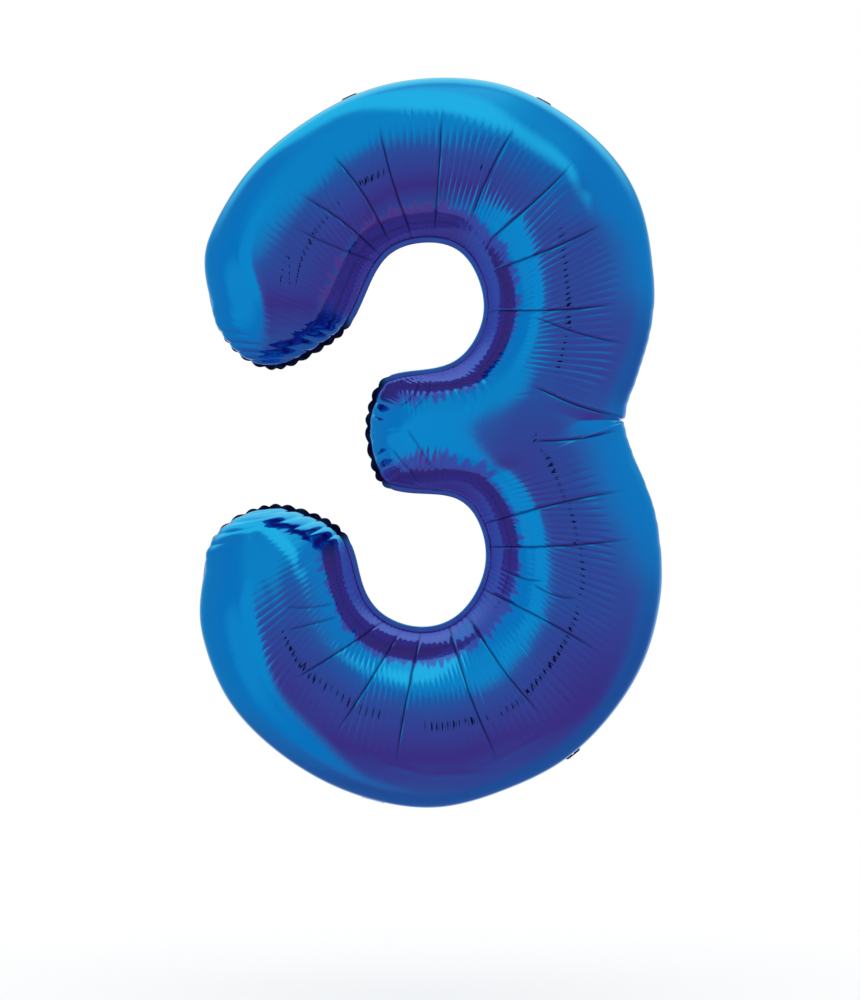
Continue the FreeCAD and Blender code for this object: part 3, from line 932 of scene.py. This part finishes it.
def valve_material():
    """Clear milky film."""
    material = bpy.data.materials.new("valve_film")
    material.use_nodes = True
    make = Nodes(material.node_tree)
    shader = material.node_tree.nodes["Principled BSDF"]
    place = make.add("ShaderNodeTexCoord").outputs["Object"]
    cloud = make.noise(place, 40.0, 2.0)
    gloss = make.add("ShaderNodeMapRange", {"Value": cloud, "To Min": 0.15, "To Max": 0.3})
    material.node_tree.links.new(gloss.outputs[0], shader.inputs["Roughness"])
    shader.inputs["Base Color"].default_value = VALVE_COLOUR
    shader.inputs["Alpha"].default_value = VALVE_ALPHA
    return material


# ---- Stage ----

# What the foil mirrors. First the room, in bands: height above the horizon in degrees, and colour. Then soft
# lights: heading round from the camera towards +x, height, half width and half height in degrees, how soft
# the edge is, and colour. The last one is the dark camera itself.
ROOM = [
    (-90, (0.45, 0.35, 0.50)),
    (-65, (0.55, 0.25, 0.47)),
    (-40, (0.72, 0.14, 0.38)),
    (-15, (0.60, 0.24, 0.48)),
    (2, (0.48, 0.30, 0.51)),
    (13, (0.38, 0.37, 0.56)),
    (28, (0.18, 0.50, 0.65)),
    (45, (0.06, 1.02, 0.92)),
    (67, (0.15, 1.50, 1.10)),
    (90, (0.35, 1.70, 1.20)),
]
LIGHTS = [
    (180, 0, 95, 80, 0.25, (0.14, 0.80, 0.86)),
    (180, -55, 95, 35, 0.45, (0.20, 0.35, 0.52)),
    (180, 0, 50, 36, 0.30, (0.75, 0.92, 1.00)),
    (-90, 5, 55, 60, 0.50, (0.08, 0.80, 0.83)),
    (95, 32, 50, 32, 0.60, (0.08, 0.84, 0.86)),
    (-60, -10, 24, 62, 0.40, (0.04, 0.82, 0.87)),
    (-62, -20, 14, 24, 0.50, (0.08, 1.10, 0.98)),
    (-30, 38, 22, 24, 0.60, (0.06, 1.05, 0.93)),
    (-43, -3, 11, 34, 0.35, (0.06, 1.15, 1.01)),
    (180, 54, 48, 20, 0.50, (0.80, 2.20, 1.40)),
    (-50, 75, 55, 11, 0.50, (0.25, 2.10, 1.33)),
    (8, -8, 2.3, 5.0, 0.30, (0.0, 0.0, 0.0)),
]


def studio_world():
    """White backdrop and even white light, with the room and its lights for reflections only."""
    world = bpy.data.worlds.new("studio")
    bpy.context.scene.world = world
    world.use_nodes = True
    tree = world.node_tree
    make = Nodes(tree)
    direction = make.add("ShaderNodeTexCoord").outputs["Generated"]
    height = make.add("ShaderNodeSeparateXYZ", {0: direction}).outputs["Z"]
    bands = make.add("ShaderNodeValToRGB", {0: make.math("MULTIPLY_ADD", height, 0.5, 0.5)})
    stops = bands.color_ramp.elements
    for number, (level, tint) in enumerate(ROOM):
        position = (math.sin(math.radians(level)) + 1.0) / 2.0
        stop = stops[number] if number < 2 else stops.new(position)
        stop.position = position
        stop.color = (*tint, 1.0)
    colour = bands.outputs["Color"]
    for heading, level, half_width, half_height, softness, tint in LIGHTS:
        turn, rise = math.radians(heading), math.radians(level)
        level_part = math.cos(rise)
        ahead = np.array((math.sin(turn) * level_part, -math.cos(turn) * level_part, math.sin(rise)))
        right = np.array((math.cos(turn), math.sin(turn), 0.0))
        dots = []
        for axis in (ahead, right, np.cross(ahead, right)):
            node = make.add("ShaderNodeVectorMath", {0: direction, 1: tuple(axis)}, operation="DOT_PRODUCT")
            dots.append(node.outputs["Value"])
        across = make.math("DIVIDE", make.math("ARCTAN2", dots[1], dots[0]), math.radians(half_width))
        above = make.math("DIVIDE", make.math("ARCSINE", dots[2]), math.radians(half_height))
        squares = [make.math("MULTIPLY", value, value) for value in (across, above)]
        size = make.math("SQRT", make.math("ADD", *squares))
        limits = {"Value": size, "From Min": 1.0 + softness, "From Max": 1.0 - softness}
        inside = make.add("ShaderNodeMapRange", limits, interpolation_type="SMOOTHERSTEP").outputs[0]
        colour = make.mix(inside, colour, (*tint, 1.0))
    path = make.add("ShaderNodeLightPath")
    plain = make.mix(path.outputs["Is Camera Ray"], ROOM_LIGHT, BACKDROP)
    seen = make.mix(path.outputs["Is Glossy Ray"], plain, colour)
    tree.links.new(seen, tree.nodes["Background"].inputs["Color"])


def camera_and_stage():
    """Camera square to the front of the figure, the studio and a pale floor below the balloon."""
    scene = bpy.context.scene
    scene.view_settings.view_transform = "Standard"
    centre = to_frame([0.0, 0.0, 0.0])
    data = bpy.data.cameras.new("camera")
    camera = bpy.data.objects.new("camera", data)
    scene.collection.objects.link(camera)
    data.sensor_fit = "VERTICAL"
    data.sensor_height = SENSOR_HEIGHT
    data.lens = SENSOR_HEIGHT * CAMERA_DISTANCE / VIEW_HEIGHT
    camera.location = (centre[0], -CAMERA_DISTANCE, centre[2] - CAMERA_DROP)
    camera.rotation_euler = (math.pi / 2.0, 0.0, 0.0)
    scene.camera = camera
    studio_world()
    floor_place = (centre[0], 0.0, cad_low[2] - FLOOR_DROP)
    bpy.ops.mesh.primitive_plane_add(size=FLOOR_SIZE, location=floor_place)
    floor = bpy.context.object
    floor.name = "floor"
    paint = bpy.data.materials.new("floor")
    paint.use_nodes = True
    shader = paint.node_tree.nodes["Principled BSDF"]
    shader.inputs["Base Color"].default_value = FLOOR_COLOUR
    shader.inputs["Roughness"].default_value = 1.0
    shader.inputs["Specular IOR Level"].default_value = 0.0
    floor.data.materials.append(paint)
    floor.visible_glossy = False


# ---- The balloon ----

foil = foil_material("blue_foil", FOIL_ROUGHNESS, FOIL_CRINKLE, FOIL_SHADE)
# margins and tabs: rougher foil, with near-black painted shade where they are marked
sealed = foil_material("sealed_foil", SEALED_ROUGHNESS, SEALED_CRINKLE, SEALED_SHADE)
film = valve_material()


def finish_piece(piece, material, *nodes):
    """Give a piece its material and slot, and hide the CAD nodes that it stands for."""
    piece.data.materials.append(material)
    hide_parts(*nodes)


for panel, side in (("front", -1), ("back", 1)):
    skin = make_skin(panel + "_foil_skin", side, np.random.default_rng(SEED + side))
    finish_piece(skin, foil, panel + "_foil_panel")
    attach(skin, "balloon")
margin = make_margin()
finish_piece(margin, sealed, "front_foil_panel", "back_foil_panel")
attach(margin, "balloon")
for place, guess in TAB_PLACES.items():
    tab, start, stop = make_tab("tab_" + place, guess)
    finish_piece(tab, sealed, "hanging_tab_" + place)
    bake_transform(tab)
tail_edge = Edge(TAIL_PLACE)
for layer, side in (("front", -1), ("back", 1)):
    piece = make_tail_layer("tail_" + layer + "_film", tail_edge, side)
    finish_piece(piece, foil, "tail_" + layer + "_layer")
    start = to_frame(tail_edge.place(0.0, NECK_REACH - 0.5, 0.0))
    stop = to_frame(tail_edge.place(0.0, NECK_REACH + FOLD_RADIUS, 1.5 * FOLD_RADIUS))
    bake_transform(piece)
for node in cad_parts.values():
    node.data.materials.clear()
    node.data.materials.append(film if "valve" in node.name else foil)
camera_and_stage()
